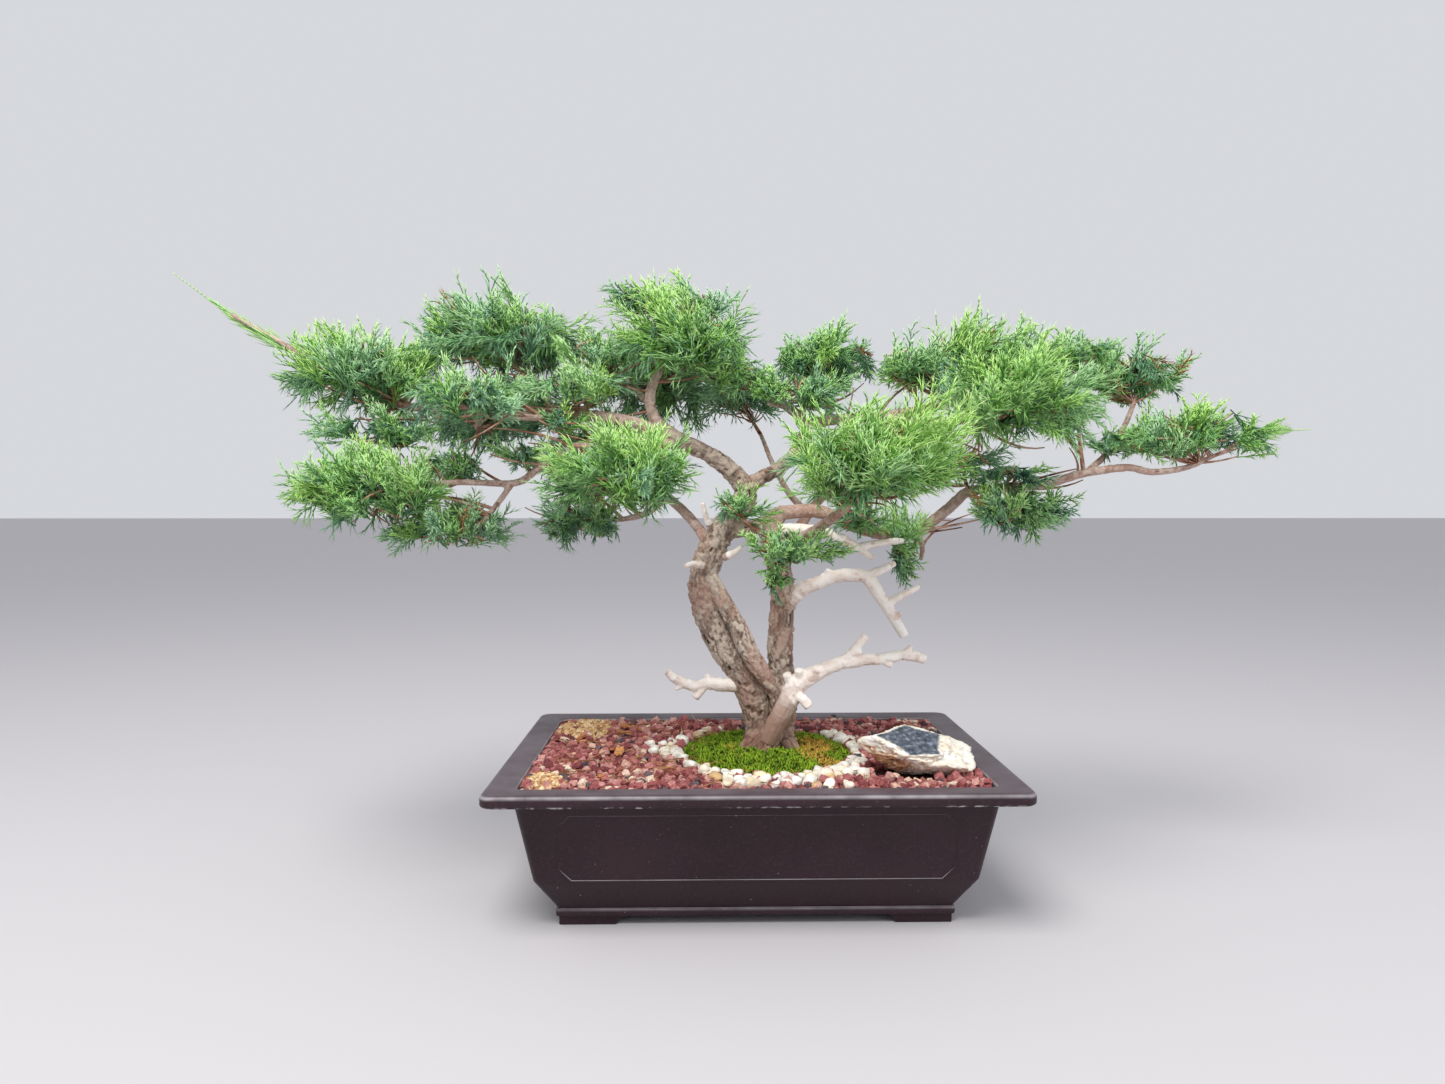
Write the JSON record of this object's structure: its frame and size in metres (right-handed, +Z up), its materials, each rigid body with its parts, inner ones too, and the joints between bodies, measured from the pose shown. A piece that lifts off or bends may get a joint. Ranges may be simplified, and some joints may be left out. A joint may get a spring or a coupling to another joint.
{
  "type": "bonsai tree in a pot",
  "caption": "Juniper bonsai with a twin trunk, wide fine foliage pads and bleached dead branches, in a dark rectangular plastic pot with gravel, moss and a stone.",
  "frame": {"origin": "middle of the footprint of the whole object on the ground, which is also the middle of the pot", "axes": "+X along the pot's long side to the right, +Y to the back of the pot, +Z up"},
  "size_m": [0.9829, 0.3741, 0.5661],
  "materials": {
    "pot_plastic": "satin",
    "screen_plastic": "matte",
    "soil": "matte",
    "lava": "matte",
    "pebble": "satin",
    "moss": "matte",
    "granule": "matte",
    "stone": "matte",
    "bark": "matte",
    "branch_bark": "matte",
    "bleached_wood": "matte",
    "foliage": "satin"
  },
  "bodies": {
    "root": {"pot": "pot_plastic", "drain_screen_left": "screen_plastic", "drain_screen_right": "screen_plastic", "soil": "soil", "lava_gravel": "lava", "white_pebbles": "pebble", "moss_mound": "moss", "tan_granules_back": "granule", "tan_granules_front": "granule", "stone": "stone", "trunk": "bark", "branch_apex": "branch_bark", "branch_left_upper": "branch_bark", "branch_left_lower": "branch_bark", "branch_right_long": "branch_bark", "branch_right_upper": "branch_bark", "branch_right_front": "branch_bark", "branch_back_left": "branch_bark", "branch_back_right": "branch_bark", "jin_lower_right": "bleached_wood", "jin_upper_right": "bleached_wood", "jin_second_right": "bleached_wood", "jin_lower_left": "bleached_wood", "foliage_far_left": "foliage", "foliage_left_low": "foliage", "foliage_left_top": "foliage", "foliage_left_back": "foliage", "foliage_left_front": "foliage", "foliage_low_left": "foliage", "foliage_centre_left": "foliage", "foliage_apex": "foliage", "foliage_apex_back": "foliage", "foliage_under_apex": "foliage", "foliage_centre_right_top": "foliage", "foliage_right_centre": "foliage", "foliage_right_top": "foliage", "foliage_right_front": "foliage", "foliage_right_far_upper": "foliage", "foliage_right_tip": "foliage", "foliage_right_low": "foliage", "foliage_centre_low": "foliage", "foliage_hanging": "foliage", "foliage_back_left": "foliage", "foliage_back_left_low": "foliage", "foliage_back_right": "foliage", "foliage_back_centre": "foliage"}
  },
  "joints": []
}
